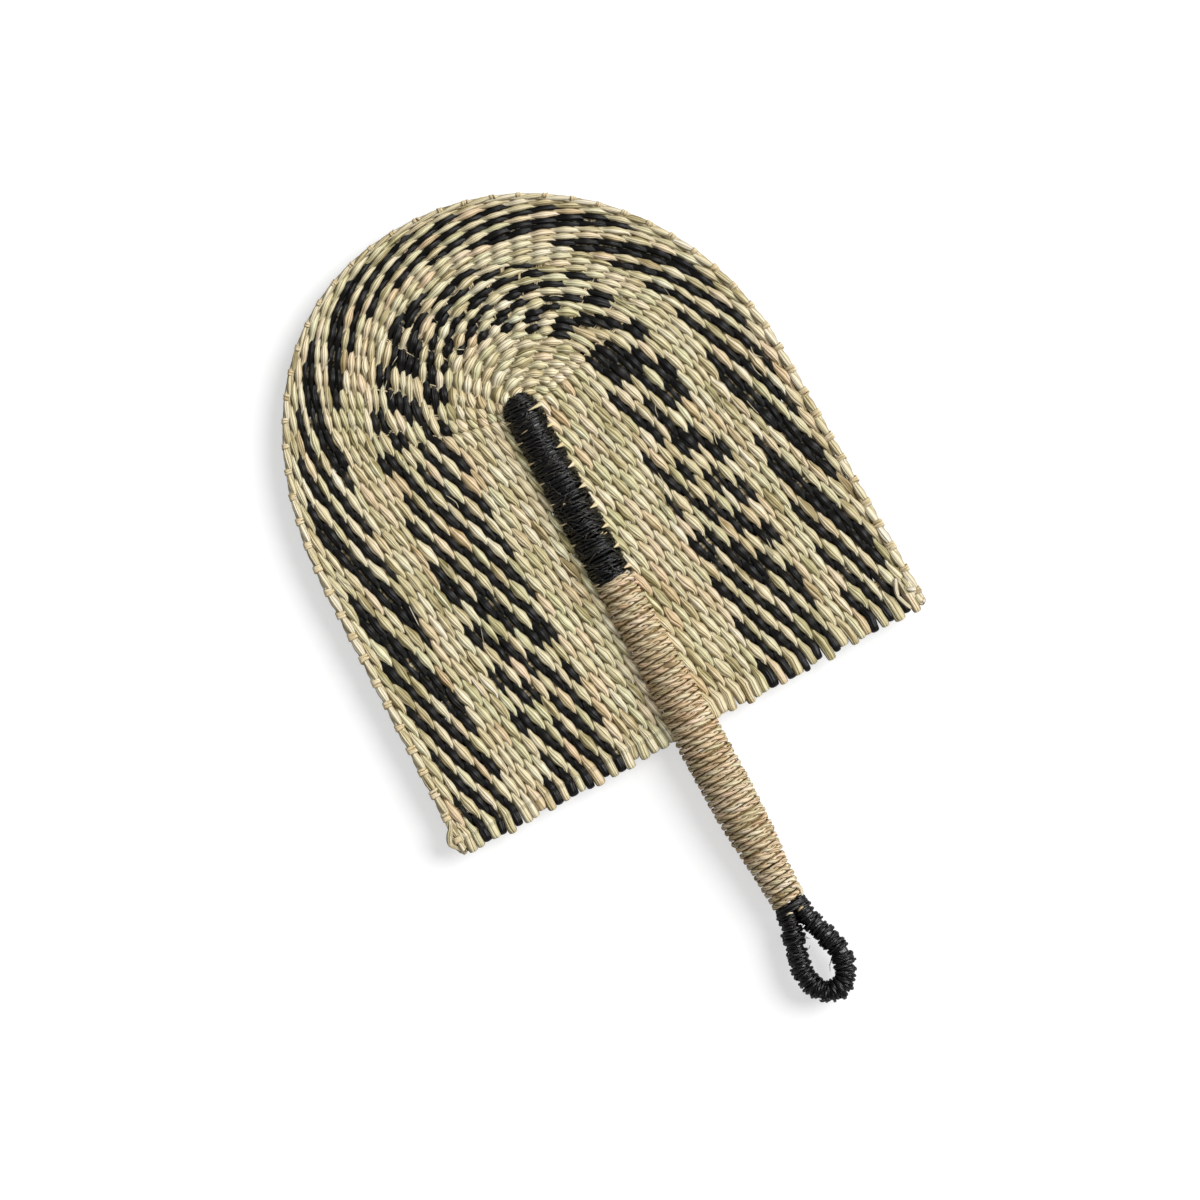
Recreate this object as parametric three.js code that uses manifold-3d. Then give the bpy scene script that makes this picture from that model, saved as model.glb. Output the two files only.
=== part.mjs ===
// A straw hand fan lying on a table, face up: an arched blade of twined grass rows, a bound handle
// that runs down its middle, and a bound loop to hang it by.
// Millimetres, +Z up out of the face, +Y from the grip to the crown of the arch.
// While it is built, y = 0 is the handle's top end and z = 0 the blade's middle plane.
import * as THREE from "three";
import { mergeVertices } from "three/addons/utils/BufferGeometryUtils.js";
import Module from "manifold-3d";

const wasm = await Module();
wasm.setup();

const CLEARANCE = 0.3; // between pieces that are bound against each other

// Blade
const BLADE_WIDTH = 265; // across the foot of its sides
const SIDE_TAPER = 2.5; // each side comes in by this much from the foot to where the arch springs
const ARCH_ABOVE_TOP = 101; // from the handle's top end up to the crown
const ARCH_SPRING = 50; // the arch springs this far below the handle's top end
const ARCH_FULLNESS = 2.1; // 2 is an ellipse, more is squarer in the shoulders
const CROWN_LEAN = 8; // the hand-drawn arch's crown lies to the left of the handle's axis
const ARCH_CROWDING = 0.27; // how much narrower the outer rows are than the inner ones at the crown
const BLADE_BELOW_TOP = 188; // from the handle's top end down to the bottom edge
const ROW_THICKNESS = 6.2; // a twined row, front strand to back strand
const ROW_CREST = 0.62; // share of a row's width that its flat crest takes
const ROWS = 27;

// Warp straws that the rows are twined round
const WARP_THICKNESS = 1.6;
const CROSS_WARP_WIDTH = 3;
const CROSS_WARPS = 16; // pass right through the handle
const FIRST_CROSS_WARP = 10; // below the handle's top end
const LAST_CROSS_WARP = 6; // above the blade's bottom edge
const CROSS_WARP_FAN = 22.6; // degrees up the arch that the first cross warp's ends reach
const SPOKE_WIDTH = 2;
const SPOKE_GROUPS = 3; // round the arch
const SPOKE_GROUP = [
  // the two spokes that each bent straw of a group makes, counted from the group's left
  [0, 1],
  [2, 5],
  [3, 4],
  [6, 7],
];
const DEEP_SPOKE_START = 0.4; // rows out from the handle where a straw that holds others is bent
const SHORT_SPOKE_START = 3.5; // rows out from the handle where the other straws are bent
const HOOK_STAND = 0.6; // the folded warp end stands off the rim row's side by this much
const HOOK_REACH = 4.6; // and lies over the rim row's crest for this length

// Handle
const HANDLE_TOP_RADIUS = 9.8;
const HANDLE_LENGTH = 289;
const HANDLE_PROFILE = [
  // below the top end, radius
  [HANDLE_TOP_RADIUS, HANDLE_TOP_RADIUS],
  [110, 10.3],
  [150, 11],
  [195, 12.3],
  [230, 12.3],
  [250, 11.4],
  [272, 9.4],
  [HANDLE_LENGTH, 8.8],
];
const BLACK_BINDING_LENGTH = 105;
const WRAP_THICKNESS = 1.6;
const ROUND_SIDES = 16; // flat sides of a round section; one lies down on the table

// Hanging loop
const LOOP_LENGTH = 54.5; // from the handle's end to the loop's foot
const LOOP_WIDTH = 32;
const LOOP_CORE_RADIUS = 2.9;
const LOOP_WRAP_RADIUS = 5.5;
const LOOP_LEG_OFFSET = 3.6; // each leg's distance from the axis inside the handle
const LOOP_LEG_DEPTH = 23; // length of leg held inside the handle
const LOOP_NECK = 11; // from the handle's end down to where the two legs part
const LOOP_NECK_SPREAD = 1.9; // each leg's extra distance from the axis where they part

const slotHalf = WARP_THICKNESS / 2 + CLEARANCE;
const rowHalf = ROW_THICKNESS / 2;
const lerp = THREE.MathUtils.lerp;

const GRASS = { color: "#b5ab7c", roughness: 0.6 };
const WARP_STRAW = { color: "#c9b98c", roughness: 0.6 };
const CORE_STRAW = { color: "#a8905c", roughness: 0.75 };
const WRAP_STRAW = { color: "#bda87c", roughness: 0.6 };
const BLACK_STRAW = { color: "#1b1a1a", roughness: 0.45 };

// A closed mesh as a manifold solid, and back
function solid(geometry) {
  const bare = geometry.clone();
  bare.deleteAttribute("normal");
  bare.deleteAttribute("uv");
  const merged = mergeVertices(bare, 1e-4);
  return new wasm.Manifold(
    new wasm.Mesh({
      numProp: 3,
      vertProperties: merged.attributes.position.array,
      triVerts: new Uint32Array(merged.index.array),
    }),
  );
}

function geometryOf(manifold) {
  const mesh = manifold.getMesh();
  const geometry = new THREE.BufferGeometry();
  geometry.setAttribute("position", new THREE.BufferAttribute(mesh.vertProperties, 3));
  geometry.setIndex(new THREE.BufferAttribute(mesh.triVerts, 1));
  return geometry;
}

// Joins sections of equally many points into one closed surface. The points of a section run
// anticlockwise for someone who looks back along the path. A ring's last section meets its first.
function loft(sections, isRing) {
  const sides = sections[0].length;
  const index = [];
  const spans = isRing ? sections.length : sections.length - 1;
  for (let s = 0; s < spans; s++) {
    const near = s * sides;
    const far = ((s + 1) % sections.length) * sides;
    for (let i = 0; i < sides; i++) {
      const j = (i + 1) % sides;
      index.push(near + i, near + j, far + j, near + i, far + j, far + i);
    }
  }
  if (!isRing) {
    const last = (sections.length - 1) * sides;
    for (let i = 1; i < sides - 1; i++) {
      index.push(0, i + 1, i, last, last + i, last + i + 1);
    }
  }
  const geometry = new THREE.BufferGeometry().setFromPoints(sections.flat());
  geometry.setIndex(index);
  return geometry;
}

// Radius of the bound handle at a height y
function handleRadius(y) {
  const next = HANDLE_PROFILE.findIndex(([below]) => below >= -y - 1e-6);
  if (next <= 0) return HANDLE_TOP_RADIUS;
  const [below0, radius0] = HANDLE_PROFILE[next - 1];
  const [below1, radius1] = HANDLE_PROFILE[next];
  return lerp(radius0, radius1, (-y - below0) / (below1 - below0));
}

// The rim's outline and the throat, which is the handle's outline with its clearance. Both run from
// the bottom left corner over the top to the bottom right.
const throatTop = HANDLE_TOP_RADIUS + CLEARANCE;
const throatFoot = handleRadius(-BLADE_BELOW_TOP) + CLEARANCE;
const rimRise = ARCH_ABOVE_TOP + ARCH_SPRING;
const rimFoot = BLADE_WIDTH / 2;
const rim = archOutline(rimFoot, rimFoot - SIDE_TAPER, -ARCH_SPRING, rimRise, ARCH_FULLNESS);
const throat = archOutline(throatFoot, throatTop, -HANDLE_TOP_RADIUS, throatTop, 2);

function archOutline(footHalf, springHalf, springY, rise, fullness) {
  const outline = new THREE.Path();
  const steps = 96;
  outline.moveTo(-footHalf, -BLADE_BELOW_TOP);
  for (let i = 0; i <= steps; i++) {
    const angle = (1 - i / steps) * Math.PI;
    const across = Math.abs(Math.cos(angle)) ** (2 / fullness);
    const up = Math.abs(Math.sin(angle)) ** (2 / fullness);
    outline.lineTo(springHalf * across * Math.sign(Math.cos(angle)), springY + rise * up);
  }
  outline.lineTo(footHalf, -BLADE_BELOW_TOP);
  return outline;
}

// How far along an outline its left side reaches a height y, as a share of its length
function shareAtHeight(outline, y) {
  let low = 0;
  let high = 0.5;
  for (let i = 0; i < 40; i++) {
    const middle = (low + high) / 2;
    if (outline.getPointAt(middle).y < y) low = middle;
    else high = middle;
  }
  return low;
}

// Stations: where each warp straw starts at the throat and ends at the rim, from bottom left over
// the top to bottom right, with one more at each bottom corner.
const GROUP_SPOKES = 2 * SPOKE_GROUP.length;
const SPOKES = SPOKE_GROUPS * GROUP_SPOKES;
const WARP_ENDS = 2 * CROSS_WARPS + SPOKES;
const firstWarpY = -FIRST_CROSS_WARP;
const lastWarpY = -BLADE_BELOW_TOP + LAST_CROSS_WARP;
const crossWarpY = (i) => lerp(lastWarpY, firstWarpY, i / (CROSS_WARPS - 1));

const fanAngle = THREE.MathUtils.degToRad(CROSS_WARP_FAN);
const fanTopY = -ARCH_SPRING + rimRise * Math.sin(fanAngle);
const shares = {
  rimFoot: shareAtHeight(rim, lastWarpY),
  rimFan: shareAtHeight(rim, fanTopY),
  throatFan: shareAtHeight(throat, firstWarpY),
};

function station(i) {
  if (i >= WARP_ENDS / 2) {
    const mirrored = station(WARP_ENDS - 1 - i);
    return {
      inner: new THREE.Vector2(-mirrored.inner.x, mirrored.inner.y),
      outer: new THREE.Vector2(-mirrored.outer.x, mirrored.outer.y),
    };
  }
  if (i < CROSS_WARPS) {
    const up = i / (CROSS_WARPS - 1);
    const inner = throat.getPointAt(shareAtHeight(throat, crossWarpY(i)));
    return { inner, outer: rim.getPointAt(lerp(shares.rimFoot, shares.rimFan, up)) };
  }
  const round = (i - CROSS_WARPS + 1) / (SPOKES + 1);
  return {
    inner: throat.getPointAt(lerp(shares.throatFan, 1 - shares.throatFan, round)),
    outer: rim.getPointAt(lerp(shares.rimFan, 1 - shares.rimFan, round)),
  };
}

const corner = (side) => ({
  inner: new THREE.Vector2(side * throatFoot, -BLADE_BELOW_TOP),
  outer: new THREE.Vector2(side * rimFoot, -BLADE_BELOW_TOP),
  up: 0,
});
const stations = Array.from({ length: WARP_ENDS }, (_, i) => leaned(station(i)));

// A station also knows how far up the arch its outer end is: 0 at the spring, 1 at the crown
function leaned({ inner, outer }) {
  const up = Math.max(0, (outer.y + ARCH_SPRING) / rimRise);
  return { inner, outer: new THREE.Vector2(outer.x - CROWN_LEAN * up * up, outer.y), up };
}

// A point a number of rows out from the throat along a station's warp, shifted outwards in mm
function onBlade({ inner, outer, up }, rowsOut, shift = 0) {
  const even = rowsOut / ROWS;
  const crowded = even + ARCH_CROWDING * up * even * (1 - even);
  return inner.clone().lerp(outer, crowded + shift / inner.distanceTo(outer));
}

// A row's plan is sampled at the corners, along the straight sides' upper ends and at every other
// spoke, the same for each row, so that neighbours stay parallel.
const straightEnd = stations.filter(({ outer }) => outer.y < -ARCH_SPRING && outer.x < 0).length - 1;
const leftSamples = [];
for (let i = WARP_ENDS / 2 - 1; i > straightEnd; i -= 2) leftSamples.unshift(i);
leftSamples.unshift(straightEnd);
const rowSamples = [
  corner(-1),
  ...leftSamples.map((i) => stations[i]),
  ...leftSamples.map((i) => stations[WARP_ENDS - 1 - i]).reverse(),
  corner(1),
];

// One twined row: its front strand runs over the arch, turns round the bottom corner and comes back
// behind the warps as its back strand. Each is a ridge with its flat base towards the warps.
function twinedRow(row) {
  const half = CLEARANCE / 2;
  const slopeShare = (1 - ROW_CREST) / 2;
  const plan = rowSamples.map((sample, i) => {
    const a = onBlade(sample, row, row === 0 ? 0 : half);
    const b = onBlade(sample, row + 1, row === ROWS - 1 ? 0 : -half);
    return { a, b, isCorner: i === 0 || i === rowSamples.length - 1 };
  });
  const rise = rowHalf - slotHalf;
  const face = (side) => ({ a, b, isCorner }) => {
    const lift = isCorner ? rise : 0; // the turn at the corner is mitred
    return [
      new THREE.Vector3(a.x, a.y + lift, side * slotHalf),
      new THREE.Vector3(b.x, b.y + lift, side * slotHalf),
      ...[1 - slopeShare, slopeShare].map((share) => {
        const p = a.clone().lerp(b, share);
        return new THREE.Vector3(p.x, p.y, side * rowHalf);
      }),
    ];
  };
  const front = plan.map(face(1));
  const back = plan.map(face(-1)).reverse();
  return loft([...front, ...back], true);
}

// A flat warp straw along a plan of points. At each end it leaves the blade, turns up outside the
// rim row and is folded over the row's crest.
function warpStraw(plan, width) {
  const half = WARP_THICKNESS / 2;
  const sides = plan.map((p, i) => {
    const before = i > 0 ? p.clone().sub(plan[i - 1]).normalize() : null;
    const after = i < plan.length - 1 ? plan[i + 1].clone().sub(p).normalize() : null;
    const along = (before ?? after).clone().add(after ?? before).normalize();
    const across = new THREE.Vector2(-along.y, along.x);
    const reference = after ?? before;
    const stretch = 1 / Math.max(0.3, Math.abs(along.dot(reference)));
    return across.multiplyScalar((width / 2) * stretch);
  });
  // A flat section at a place p, between two heights that lie off p by a shift along the straw
  const section = (p, across, low, lowShift, high, highShift) => {
    const lowAt = p.clone().add(lowShift);
    const highAt = p.clone().add(highShift);
    return [
      new THREE.Vector3(lowAt.x - across.x, lowAt.y - across.y, low),
      new THREE.Vector3(lowAt.x + across.x, lowAt.y + across.y, low),
      new THREE.Vector3(highAt.x + across.x, highAt.y + across.y, high),
      new THREE.Vector3(highAt.x - across.x, highAt.y - across.y, high),
    ];
  };
  // The fold's sections, from its free tip to the rim: tip, upper mitre, lower mitre
  const hook = (end, inward, across) => {
    const away = (distance) => inward.clone().multiplyScalar(-distance);
    const inside = HOOK_STAND;
    const outside = HOOK_STAND + WARP_THICKNESS;
    const low = rowHalf + CLEARANCE;
    const high = low + WARP_THICKNESS;
    const tip = away(HOOK_STAND - HOOK_REACH);
    return [
      section(end, across, high, tip, low, tip),
      section(end, across, high, away(outside), low, away(inside)),
      section(end, across, -half, away(outside), half, away(inside)),
    ];
  };
  const last = plan.length - 1;
  const none = new THREE.Vector2();
  const start = hook(plan[0], plan[1].clone().sub(plan[0]).normalize(), sides[0]);
  const finish = hook(plan[last], plan[last - 1].clone().sub(plan[last]).normalize(), sides[last]);
  const middle = plan.slice(1, -1).map((p, i) => section(p, sides[i + 1], -half, none, half, none));
  return loft([...start, ...middle, ...finish.reverse()], false);
}

function crossWarp(i) {
  const left = stations[i];
  const right = stations[WARP_ENDS - 1 - i];
  return warpStraw([left.outer, left.inner, right.inner, right.outer], CROSS_WARP_WIDTH);
}

function spokePair(firstSpoke, [leftSpoke, rightSpoke]) {
  const left = stations[CROSS_WARPS + firstSpoke + leftSpoke];
  const right = stations[CROSS_WARPS + firstSpoke + rightSpoke];
  const start = rightSpoke > leftSpoke + 1 ? DEEP_SPOKE_START : SHORT_SPOKE_START;
  const plan = [left.outer, onBlade(left, start), onBlade(right, start), right.outer];
  return warpStraw(plan, SPOKE_WIDTH);
}

// A solid of revolution about the handle's axis, turned so that one flat side faces down
function turned(profile) {
  return solid(new THREE.LatheGeometry(profile, ROUND_SIDES, Math.PI / ROUND_SIDES));
}

// The handle's outline, drawn in by an inset, from its rounded top end down to a height
function handleSide(inset, fromY, toY) {
  const points = [];
  const radius = HANDLE_TOP_RADIUS - inset;
  if (fromY > -HANDLE_TOP_RADIUS) {
    for (let i = 0; i < 4; i++) {
      const angle = (i / 4) * (Math.PI / 2);
      const y = -HANDLE_TOP_RADIUS + radius * Math.cos(angle);
      points.push(new THREE.Vector2(radius * Math.sin(angle), y));
    }
  }
  const first = Math.min(fromY, -HANDLE_TOP_RADIUS);
  const between = HANDLE_PROFILE.map(([below]) => -below).filter((y) => y < first && y > toY);
  for (const y of [first, ...between, toY]) {
    points.push(new THREE.Vector2(handleRadius(y) - inset, y));
  }
  return points;
}

const boxAt = (sizeX, sizeY, sizeZ, x, y, z) =>
  solid(new THREE.BoxGeometry(sizeX, sizeY, sizeZ).translate(x, y, z));

// A solid of the handle with a slot right through it for every cross warp between two heights
function slotted(body, fromY, toY) {
  const width = CROSS_WARP_WIDTH + 2 * CLEARANCE;
  let cut = body;
  for (let i = 0; i < CROSS_WARPS; i++) {
    const y = crossWarpY(i);
    if (y < fromY && y > toY) cut = cut.subtract(boxAt(BLADE_WIDTH, width, 2 * slotHalf, 0, y, 0));
  }
  return geometryOf(cut);
}

// The straw bundle inside the bindings
function handleCore() {
  const inset = WRAP_THICKNESS + CLEARANCE;
  const endY = -HANDLE_LENGTH + LOOP_LEG_DEPTH + CLEARANCE;
  const bundle = turned([...handleSide(inset, 0, endY), new THREE.Vector2(0, endY)].reverse());
  return slotted(bundle, 0, endY);
}

// A binding's sleeve round the handle
function binding(fromY, toY) {
  const outside = handleSide(0, fromY, toY);
  const inside = handleSide(WRAP_THICKNESS, fromY, toY).reverse();
  const isCapped = fromY > -HANDLE_TOP_RADIUS;
  const profile = [...outside, ...inside];
  if (!isCapped) profile.push(outside[0].clone());
  return slotted(turned(profile.reverse()), fromY, toY);
}

// The loop's centreline: up one leg inside the handle, round the eye and back up the other
const handleEnd = -HANDLE_LENGTH;
const loopFootY = handleEnd - LOOP_LENGTH + LOOP_WRAP_RADIUS;
const loopHalf = LOOP_WIDTH / 2 - LOOP_WRAP_RADIUS;
const partX = LOOP_LEG_OFFSET + LOOP_NECK_SPREAD;
const partY = handleEnd - LOOP_NECK;
const eyeY = (share) => lerp(partY, loopFootY, share);
const loopSide = [
  [LOOP_LEG_OFFSET, handleEnd + LOOP_LEG_DEPTH],
  [LOOP_LEG_OFFSET, handleEnd + LOOP_LEG_DEPTH / 2],
  [LOOP_LEG_OFFSET, handleEnd + 1],
  [partX, partY],
  [lerp(partX, loopHalf, 0.57), eyeY(0.27)],
  [loopHalf, eyeY(0.55)],
  [0.98 * loopHalf, eyeY(0.68)],
  [0.8 * loopHalf, eyeY(0.86)],
  [0.45 * loopHalf, eyeY(0.97)],
];
const loopPath = new THREE.CatmullRomCurve3(
  [
    ...loopSide.map(([x, y]) => new THREE.Vector3(-x, y, 0)),
    new THREE.Vector3(0, loopFootY, 0),
    ...loopSide.map(([x, y]) => new THREE.Vector3(x, y, 0)).reverse(),
  ],
  false,
  "centripetal",
);

function sweep(path, radius, sides, steps) {
  const section = new THREE.Shape();
  for (let i = 0; i < sides; i++) {
    const angle = ((i + 0.5) / sides) * 2 * Math.PI;
    const point = [radius * Math.cos(angle), radius * Math.sin(angle)];
    if (i === 0) section.moveTo(...point);
    else section.lineTo(...point);
  }
  return solid(new THREE.ExtrudeGeometry(section, { steps, extrudePath: path, bevelEnabled: false }));
}

const LOOP_STEPS = 44;
const loopCore = () => sweep(loopPath, LOOP_CORE_RADIUS, 8, LOOP_STEPS);
const loopChannel = () => sweep(loopPath, LOOP_CORE_RADIUS + CLEARANCE, 8, LOOP_STEPS);

// The loop's black binding: round both legs together at the neck, then round the eye
function loopBinding() {
  const eyeStart = loopShareBelow(partY + 0.35 * LOOP_NECK);
  const points = [];
  const count = 30;
  for (let i = 0; i <= count; i++) {
    points.push(loopPath.getPointAt(lerp(eyeStart, 1 - eyeStart, i / count)));
  }
  const eye = new THREE.CatmullRomCurve3(points, false, "centripetal");
  const neckTop = neckSection(handleEnd - CLEARANCE, LOOP_LEG_OFFSET);
  const neckFoot = neckSection(partY, partX);
  const neck = solid(loft([neckTop, neckFoot], false));
  const whole = sweep(eye, LOOP_WRAP_RADIUS, 10, count).add(neck);
  return geometryOf(whole.subtract(loopChannel()));
}

// A section round both legs at a height y, each leg a distance x from the axis
function neckSection(y, x) {
  const sides = 12;
  return Array.from({ length: sides }, (_, i) => {
    const angle = ((i + 0.5) / sides) * 2 * Math.PI;
    const legX = Math.sign(Math.cos(angle)) * x;
    const cover = LOOP_WRAP_RADIUS;
    return new THREE.Vector3(legX + cover * Math.cos(angle), y, cover * Math.sin(angle));
  });
}

function loopShareBelow(y) {
  let share = 0;
  while (loopPath.getPointAt(share).y > y) share += 0.001;
  return share;
}

const fan = new THREE.Group();
function add(name, geometry, finish) {
  const material = new THREE.MeshStandardMaterial({ ...finish, metalness: 0 });
  const mesh = new THREE.Mesh(geometry, material);
  mesh.name = name;
  fan.add(mesh);
}
const numbered = (name, i) => name + "_" + String(i + 1).padStart(2, "0");

for (let i = 0; i < ROWS; i++) {
  add(i === ROWS - 1 ? "rim_row" : numbered("twined_row", i), twinedRow(i), GRASS);
}
for (let i = 0; i < CROSS_WARPS; i++) add(numbered("cross_warp", i), crossWarp(i), WARP_STRAW);
for (let group = 0; group < SPOKE_GROUPS; group++) {
  SPOKE_GROUP.forEach((spokes, i) => {
    const name = numbered("arch_spoke_pair", group * SPOKE_GROUP.length + i);
    add(name, spokePair(group * GROUP_SPOKES, spokes), WARP_STRAW);
  });
}
add("handle_core", handleCore(), CORE_STRAW);
const changeY = -BLACK_BINDING_LENGTH;
add("upper_handle_binding", binding(0, changeY + CLEARANCE / 2), BLACK_STRAW);
add("lower_handle_binding", binding(changeY - CLEARANCE / 2, handleEnd), WRAP_STRAW);
add("loop_core", geometryOf(loopCore()), CORE_STRAW);
add("loop_binding", loopBinding(), BLACK_STRAW);

// The finished fan stands on z = 0 with the origin under the middle of its box
const box = new THREE.Box3().setFromObject(fan);
const centre = box.getCenter(new THREE.Vector3());
fan.position.set(-centre.x, -centre.y, -box.min.z);

export default fan;
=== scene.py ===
import math

import bpy
import numpy as np
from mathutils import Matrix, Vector


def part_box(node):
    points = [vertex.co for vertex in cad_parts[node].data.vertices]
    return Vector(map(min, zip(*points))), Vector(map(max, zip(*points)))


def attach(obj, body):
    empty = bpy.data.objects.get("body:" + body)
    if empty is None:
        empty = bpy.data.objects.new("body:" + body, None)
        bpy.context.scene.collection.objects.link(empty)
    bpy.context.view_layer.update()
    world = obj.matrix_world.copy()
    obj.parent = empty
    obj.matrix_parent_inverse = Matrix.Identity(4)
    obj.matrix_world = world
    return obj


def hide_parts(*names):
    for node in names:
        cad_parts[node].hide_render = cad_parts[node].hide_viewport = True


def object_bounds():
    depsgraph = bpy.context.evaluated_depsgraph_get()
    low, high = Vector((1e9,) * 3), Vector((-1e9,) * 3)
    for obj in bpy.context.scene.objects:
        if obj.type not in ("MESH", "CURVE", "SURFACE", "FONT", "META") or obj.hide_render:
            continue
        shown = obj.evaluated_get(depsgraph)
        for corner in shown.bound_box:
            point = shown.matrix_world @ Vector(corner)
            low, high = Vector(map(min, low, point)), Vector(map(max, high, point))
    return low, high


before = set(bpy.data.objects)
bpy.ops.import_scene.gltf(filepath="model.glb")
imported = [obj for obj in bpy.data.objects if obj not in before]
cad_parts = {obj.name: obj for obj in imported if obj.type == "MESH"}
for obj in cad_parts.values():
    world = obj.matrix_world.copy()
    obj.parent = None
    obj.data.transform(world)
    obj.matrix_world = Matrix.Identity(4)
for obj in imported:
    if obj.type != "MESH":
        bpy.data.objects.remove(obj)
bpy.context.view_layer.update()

# Blade, with the part's own sizes
BLADE_WIDTH = 265
SIDE_TAPER = 2.5
ARCH_ABOVE_TOP = 101
ARCH_SPRING = 50
ARCH_FULLNESS = 2.1
CROWN_LEAN = 8
ARCH_CROWDING = 0.27
BLADE_BELOW_TOP = 188
ROWS = 27
CROSS_WARPS = 16
FIRST_CROSS_WARP = 10
LAST_CROSS_WARP = 6
CROSS_WARP_FAN = 22.6  # degrees
SPOKE_GROUPS = 3
SPOKE_GROUP = ((0, 1), (2, 5), (3, 4), (6, 7))
GROUP_SPOKES = 2 * len(SPOKE_GROUP)
DEEP_SPOKE_START = 0.4
SHORT_SPOKE_START = 3.5
SPOKES = SPOKE_GROUPS * GROUP_SPOKES
WARP_ENDS = 2 * CROSS_WARPS + SPOKES

# Handle and loop, with the part's own sizes
CLEARANCE = 0.3
HANDLE_LENGTH = 289
TOP_RADIUS = 9.8
PROFILE_BELOW = (9.8, 110, 150, 195, 230, 250, 272, 289)
PROFILE_RADIUS = (9.8, 10.3, 11, 12.3, 12.3, 11.4, 9.4, 8.8)
BLACK_LENGTH = 105
LOOP_LENGTH = 54.5
LOOP_WIDTH = 32
LOOP_WRAP_RADIUS = 5.5
LOOP_LEG_OFFSET = 3.6
LOOP_NECK = 11
LOOP_NECK_SPREAD = 1.9

# Strands
STEPS = 10  # sections to a stitch
STRAND_SWING = 0.29  # of the row pitch, each way as the two strands pass each other
STRAND_RISE = 2.05  # of a strand's middle, over a warp
FRONT_WIDTH = 1.1  # of the row pitch
CROSSING_WIDTH = 0.6
CROSSING_TAPER = 2.0  # how pointed a stitch is
CROSSING_DIP = 1.5  # how long two strands lie side by side as they change faces
NATURAL, BLACK = 0.0, 1.0
STEM_NUMBERS = ("crease_and_side_shade", "tone", "dye", "blush")  # what a mesh tells its material
LOBE_TONE = 0.13  # how much the fibres of a strand differ
LOBE_STRETCH = 13  # length in which their tone changes
CREASE_TONE = 0.22  # painted shade: how much darker a strand's tone is made in the creases between them
CREASE_SHARE = 0.14  # of a lobe's width, from a crease's bottom to its edge
SIDE_SHADE = 4  # how narrow the shade is where strands meet
FIBRE_ROUND = 1.5  # radius on which streaks are laid

MM = 0.001
UP = np.array([0.0, 0.0, 1.0])
TO_TOP = np.array([0.0, 1.0, 0.0])  # along the handle
rim_low, rim_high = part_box("rim_row")
HANDLE_TOP = np.array([0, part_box("upper_handle_binding")[1].y, (rim_low.z + rim_high.z) / 2])


def unit(v):
    return v / np.maximum(np.linalg.norm(v, axis=-1, keepdims=True), 1e-9)


def raised(plan, z=0.0):
    """Points of the plan at a height."""
    return np.concatenate([plan, np.broadcast_to(z, plan.shape[:-1])[..., None]], -1)


def handle_radius(y):
    return np.interp(-np.asarray(y), PROFILE_BELOW, PROFILE_RADIUS)


def run_of(points):
    """Length of a line up to each of its points."""
    return np.append(0, np.cumsum(np.linalg.norm(np.diff(points, axis=0), axis=1)))


# Plan of the blade
ARCH_POINTS = 193


def outline(foot, spring, spring_y, rise, fullness):
    angle = np.linspace(math.pi, 0, ARCH_POINTS)
    across = np.sign(np.cos(angle)) * np.abs(np.cos(angle)) ** (2 / fullness)
    up = np.abs(np.sin(angle)) ** (2 / fullness)
    arch = np.stack([spring * across, spring_y + rise * up], -1)
    points = np.concatenate([[[-foot, -BLADE_BELOW_TOP]], arch, [[foot, -BLADE_BELOW_TOP]]])
    return points, run_of(points) / run_of(points)[-1]


def on_outline(line, share):
    points, shares = line
    return np.stack([np.interp(share, shares, points[:, k]) for k in (0, 1)], -1)


def share_at_height(line, y):
    points, shares = line
    half = len(shares) // 2
    return np.interp(y, points[:half, 1], shares[:half])


rim_rise = ARCH_ABOVE_TOP + ARCH_SPRING
rim_foot = BLADE_WIDTH / 2
rim = outline(rim_foot, rim_foot - SIDE_TAPER, -ARCH_SPRING, rim_rise, ARCH_FULLNESS)
throat_top = TOP_RADIUS + CLEARANCE
throat_foot = handle_radius(-BLADE_BELOW_TOP) + CLEARANCE
throat = outline(throat_foot, throat_top, -TOP_RADIUS, throat_top, 2)
first_warp_y = -FIRST_CROSS_WARP
last_warp_y = -BLADE_BELOW_TOP + LAST_CROSS_WARP
warp_pitch = (first_warp_y - last_warp_y) / (CROSS_WARPS - 1)
FOOT_WARP = -LAST_CROSS_WARP / warp_pitch  # the warp number that the blade's bottom edge has
fan_top_y = -ARCH_SPRING + rim_rise * math.sin(math.radians(CROSS_WARP_FAN))
rim_first, rim_fan = share_at_height(rim, last_warp_y), share_at_height(rim, fan_top_y)
throat_fan = share_at_height(throat, first_warp_y)


def station(warp):
    """Throat end and rim end of the line at a warp number, and how far up the arch it ends."""
    warp = np.asarray(warp, float)
    mirrored = warp > (WARP_ENDS - 1) / 2
    left = np.where(mirrored, WARP_ENDS - 1 - warp, warp)
    up = left / (CROSS_WARPS - 1)
    height = last_warp_y + (first_warp_y - last_warp_y) * up
    spoke = np.clip((left - CROSS_WARPS + 1) / (SPOKES + 1), 0, 1)
    inner_share = np.where(up <= 1, share_at_height(throat, height),
                           throat_fan + (1 - 2 * throat_fan) * spoke)
    outer_share = np.where(up <= 1, np.maximum(rim_first + (rim_fan - rim_first) * up, 0),
                           rim_fan + (1 - 2 * rim_fan) * spoke)
    inner, outer = on_outline(throat, inner_share), on_outline(rim, outer_share)
    side = np.where(mirrored, -1, 1)
    inner[..., 0] *= side
    outer[..., 0] *= side
    arch = np.maximum(0, (outer[..., 1] + ARCH_SPRING) / rim_rise)
    outer[..., 0] -= CROWN_LEAN * arch * arch
    return inner, outer, arch


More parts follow.
